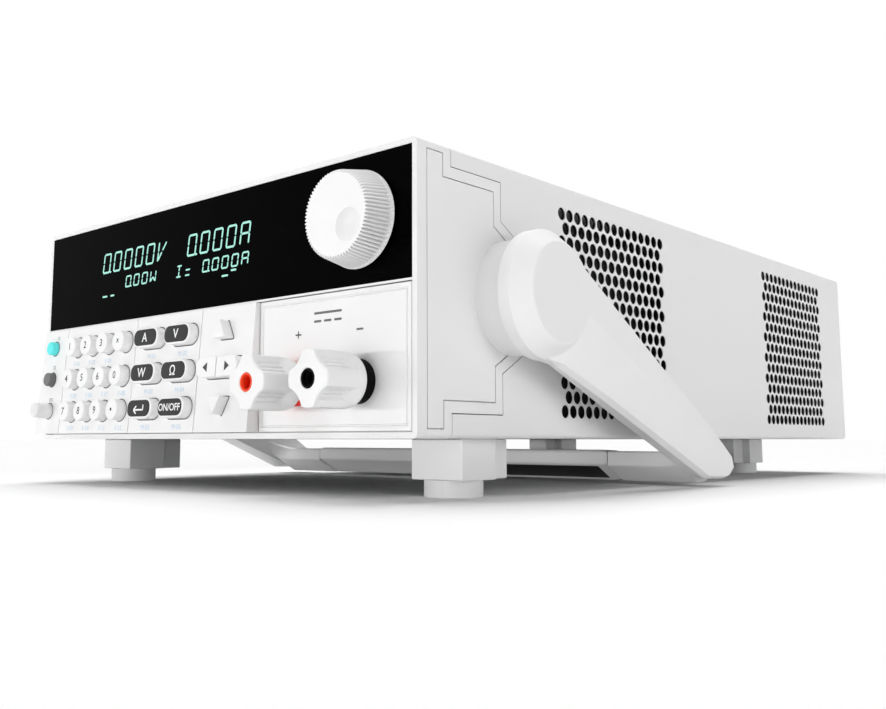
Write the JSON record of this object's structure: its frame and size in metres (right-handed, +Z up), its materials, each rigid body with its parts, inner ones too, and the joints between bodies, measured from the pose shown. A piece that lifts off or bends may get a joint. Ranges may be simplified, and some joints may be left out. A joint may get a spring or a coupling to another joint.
{
  "type": "dc electronic load",
  "caption": "Half-rack benchtop electronic load with a display window, sloped keypad, knob, two screw terminals and a swing bail that serves as handle and tilt stand.",
  "frame": {"origin": "on the ground under the middle of the object's box", "axes": "+Z up, -Y out of the front panel, +X to the right seen from the front"},
  "size_m": [0.2542, 0.3756, 0.1063],
  "materials": {
    "body_plastic": "fine satin texture",
    "painted_sheet": "fine powder coat",
    "zinc_sheet": "zinc plated",
    "window_black": "smooth gloss",
    "panel_white": "smooth satin",
    "display_glass": "coated glass",
    "board_green": "solder resist",
    "membrane_rubber": "matt",
    "knob_white": "satin with fine knurls",
    "post_brass": "nickel flashed",
    "bail_plastic": "fine satin texture",
    "foot_plastic": "fine satin texture",
    "pad_rubber": "matt white",
    "sink_aluminium": "extruded, black anodised",
    "transformer_iron": "varnished laminations",
    "fan_black": "moulded",
    "key_white": "smooth satin",
    "key_dark": "white body with a dark printed face",
    "button_cyan": "smooth satin",
    "button_grey": "smooth satin",
    "button_light": "smooth satin",
    "cap_white": "satin",
    "insulator_red": "smooth",
    "insulator_black": "smooth"
  },
  "bodies": {
    "root": {"front_frame": "body_plastic", "hub_plates": "body_plastic", "case_cover": "painted_sheet", "bottom_chassis": "zinc_sheet", "rear_panel": "painted_sheet", "display_window": "window_black", "keypad_panel": "panel_white", "terminal_panel": "panel_white", "display_module": "display_glass", "keypad_board": "board_green", "key_membrane": "membrane_rubber", "encoder": "zinc_sheet", "terminal_posts": "post_brass", "foot_blocks": "foot_plastic", "foot_pads": "pad_rubber", "main_board": "board_green", "heatsink": "sink_aluminium", "transformer": "transformer_iron", "fan_frame": "fan_black", "mains_inlet": "fan_black", "case_screws": "zinc_sheet", "collar_red": "insulator_red", "collar_black": "insulator_black"},
    "bail": {"bail_arm_right": "bail_plastic", "bail_arm_left": "bail_plastic", "bail_crossbar": "bail_plastic", "bail_grip": "bail_plastic"},
    "knob": {"knob": "knob_white"},
    "fan_rotor": {"fan_rotor": "fan_black"},
    "key_1": {"key_1": "key_white"},
    "key_2": {"key_2": "key_white"},
    "key_3": {"key_3": "key_white"},
    "key_esc": {"key_esc": "key_white"},
    "key_4": {"key_4": "key_white"},
    "key_5": {"key_5": "key_white"},
    "key_6": {"key_6": "key_white"},
    "key_0": {"key_0": "key_white"},
    "key_7": {"key_7": "key_white"},
    "key_8": {"key_8": "key_white"},
    "key_9": {"key_9": "key_white"},
    "key_dot": {"key_dot": "key_white"},
    "key_amp": {"key_amp": "key_dark"},
    "key_volt": {"key_volt": "key_dark"},
    "key_watt": {"key_watt": "key_dark"},
    "key_ohm": {"key_ohm": "key_dark"},
    "key_enter": {"key_enter": "key_dark"},
    "key_on_off": {"key_on_off": "key_dark"},
    "key_up": {"key_up": "key_white"},
    "key_down": {"key_down": "key_white"},
    "key_left": {"key_left": "key_white"},
    "key_right": {"key_right": "key_white"},
    "shift_button": {"shift_button": "button_cyan"},
    "local_button": {"local_button": "button_grey"},
    "power_button": {"power_button": "button_light"},
    "washer_red": {"washer_red": "zinc_sheet"},
    "cap_red": {"cap_red": "cap_white", "sleeve_red": "insulator_red"},
    "washer_black": {"washer_black": "zinc_sheet"},
    "cap_black": {"cap_black": "cap_white", "sleeve_black": "insulator_black"}
  },
  "joints": [
    {"name": "bail_swing", "type": "hinge", "parent": "root", "child": "bail", "pos_m": [0, -0.1215, 0.06275], "axis": [-1, 0, 0], "range_deg": [0, 300]},
    {"name": "knob_turn", "type": "hinge", "parent": "root", "child": "knob", "pos_m": [0.08415, -0.1728, 0.08443], "axis": [0, 1, 0], "continuous": true},
    {"name": "fan_spin", "type": "hinge", "parent": "root", "child": "fan_rotor", "pos_m": [0.05025, 0.1732, 0.0593], "axis": [0, 1, 0], "continuous": true},
    {"name": "key_1_press", "type": "slide", "parent": "root", "child": "key_1", "axis": [0, 0.9974, -0.0718], "range_m": [0, 0.0015], "stiffness_N_per_m": 300},
    {"name": "key_2_press", "type": "slide", "parent": "root", "child": "key_2", "axis": [0, 0.9974, -0.0718], "range_m": [0, 0.0015], "stiffness_N_per_m": 300},
    {"name": "key_3_press", "type": "slide", "parent": "root", "child": "key_3", "axis": [0, 0.9974, -0.0718], "range_m": [0, 0.0015], "stiffness_N_per_m": 300},
    {"name": "key_esc_press", "type": "slide", "parent": "root", "child": "key_esc", "axis": [0, 0.9974, -0.0718], "range_m": [0, 0.0015], "stiffness_N_per_m": 300},
    {"name": "key_4_press", "type": "slide", "parent": "root", "child": "key_4", "axis": [0, 0.9974, -0.0718], "range_m": [0, 0.0015], "stiffness_N_per_m": 300},
    {"name": "key_5_press", "type": "slide", "parent": "root", "child": "key_5", "axis": [0, 0.9974, -0.0718], "range_m": [0, 0.0015], "stiffness_N_per_m": 300},
    {"name": "key_6_press", "type": "slide", "parent": "root", "child": "key_6", "axis": [0, 0.9974, -0.0718], "range_m": [0, 0.0015], "stiffness_N_per_m": 300},
    {"name": "key_0_press", "type": "slide", "parent": "root", "child": "key_0", "axis": [0, 0.9974, -0.0718], "range_m": [0, 0.0015], "stiffness_N_per_m": 300},
    {"name": "key_7_press", "type": "slide", "parent": "root", "child": "key_7", "axis": [0, 0.9974, -0.0718], "range_m": [0, 0.0015], "stiffness_N_per_m": 300},
    {"name": "key_8_press", "type": "slide", "parent": "root", "child": "key_8", "axis": [0, 0.9974, -0.0718], "range_m": [0, 0.0015], "stiffness_N_per_m": 300},
    {"name": "key_9_press", "type": "slide", "parent": "root", "child": "key_9", "axis": [0, 0.9974, -0.0718], "range_m": [0, 0.0015], "stiffness_N_per_m": 300},
    {"name": "key_dot_press", "type": "slide", "parent": "root", "child": "key_dot", "axis": [0, 0.9974, -0.0718], "range_m": [0, 0.0015], "stiffness_N_per_m": 300},
    {"name": "key_amp_press", "type": "slide", "parent": "root", "child": "key_amp", "axis": [0, 0.9974, -0.0718], "range_m": [0, 0.0015], "stiffness_N_per_m": 300},
    {"name": "key_volt_press", "type": "slide", "parent": "root", "child": "key_volt", "axis": [0, 0.9974, -0.0718], "range_m": [0, 0.0015], "stiffness_N_per_m": 300},
    {"name": "key_watt_press", "type": "slide", "parent": "root", "child": "key_watt", "axis": [0, 0.9974, -0.0718], "range_m": [0, 0.0015], "stiffness_N_per_m": 300},
    {"name": "key_ohm_press", "type": "slide", "parent": "root", "child": "key_ohm", "axis": [0, 0.9974, -0.0718], "range_m": [0, 0.0015], "stiffness_N_per_m": 300},
    {"name": "key_enter_press", "type": "slide", "parent": "root", "child": "key_enter", "axis": [0, 0.9974, -0.0718], "range_m": [0, 0.0015], "stiffness_N_per_m": 300},
    {"name": "key_on_off_press", "type": "slide", "parent": "root", "child": "key_on_off", "axis": [0, 0.9974, -0.0718], "range_m": [0, 0.0015], "stiffness_N_per_m": 300},
    {"name": "key_up_press", "type": "slide", "parent": "root", "child": "key_up", "axis": [0, 0.9974, -0.0718], "range_m": [0, 0.0015], "stiffness_N_per_m": 300},
    {"name": "key_down_press", "type": "slide", "parent": "root", "child": "key_down", "axis": [0, 0.9974, -0.0718], "range_m": [0, 0.0015], "stiffness_N_per_m": 300},
    {"name": "key_left_press", "type": "slide", "parent": "root", "child": "key_left", "axis": [0, 0.9974, -0.0718], "range_m": [0, 0.0015], "stiffness_N_per_m": 300},
    {"name": "key_right_press", "type": "slide", "parent": "root", "child": "key_right", "axis": [0, 0.9974, -0.0718], "range_m": [0, 0.0015], "stiffness_N_per_m": 300},
    {"name": "shift_button_press", "type": "slide", "parent": "root", "child": "shift_button", "axis": [0, 0.9974, -0.0718], "range_m": [0, 0.0015], "stiffness_N_per_m": 300},
    {"name": "local_button_press", "type": "slide", "parent": "root", "child": "local_button", "axis": [0, 0.9974, -0.0718], "range_m": [0, 0.0015], "stiffness_N_per_m": 300},
    {"name": "power_button_press", "type": "slide", "parent": "root", "child": "power_button", "axis": [0, 0.9974, -0.0718], "range_m": [0, 0.0015], "stiffness_N_per_m": 300},
    {"name": "red_cap_travel", "type": "slide", "parent": "root", "child": "washer_red", "axis": [0, -1, 0], "range_m": [0, 0.00625]},
    {"name": "red_cap_turn", "type": "hinge", "parent": "washer_red", "child": "cap_red", "pos_m": [0.05639, -0.1788, 0.03515], "axis": [0, -1, 0], "range_deg": [0, 1800]},
    {"name": "black_cap_travel", "type": "slide", "parent": "root", "child": "washer_black", "axis": [0, -1, 0], "range_m": [0, 0.00625]},
    {"name": "black_cap_turn", "type": "hinge", "parent": "washer_black", "child": "cap_black", "pos_m": [0.08419, -0.1788, 0.03515], "axis": [0, -1, 0], "range_deg": [0, 1800]}
  ],
  "couplings": [
    {"joint": "red_cap_turn", "follows": "red_cap_travel", "rad_per_m": 5026.5},
    {"joint": "black_cap_turn", "follows": "black_cap_travel", "rad_per_m": 5026.5}
  ]
}
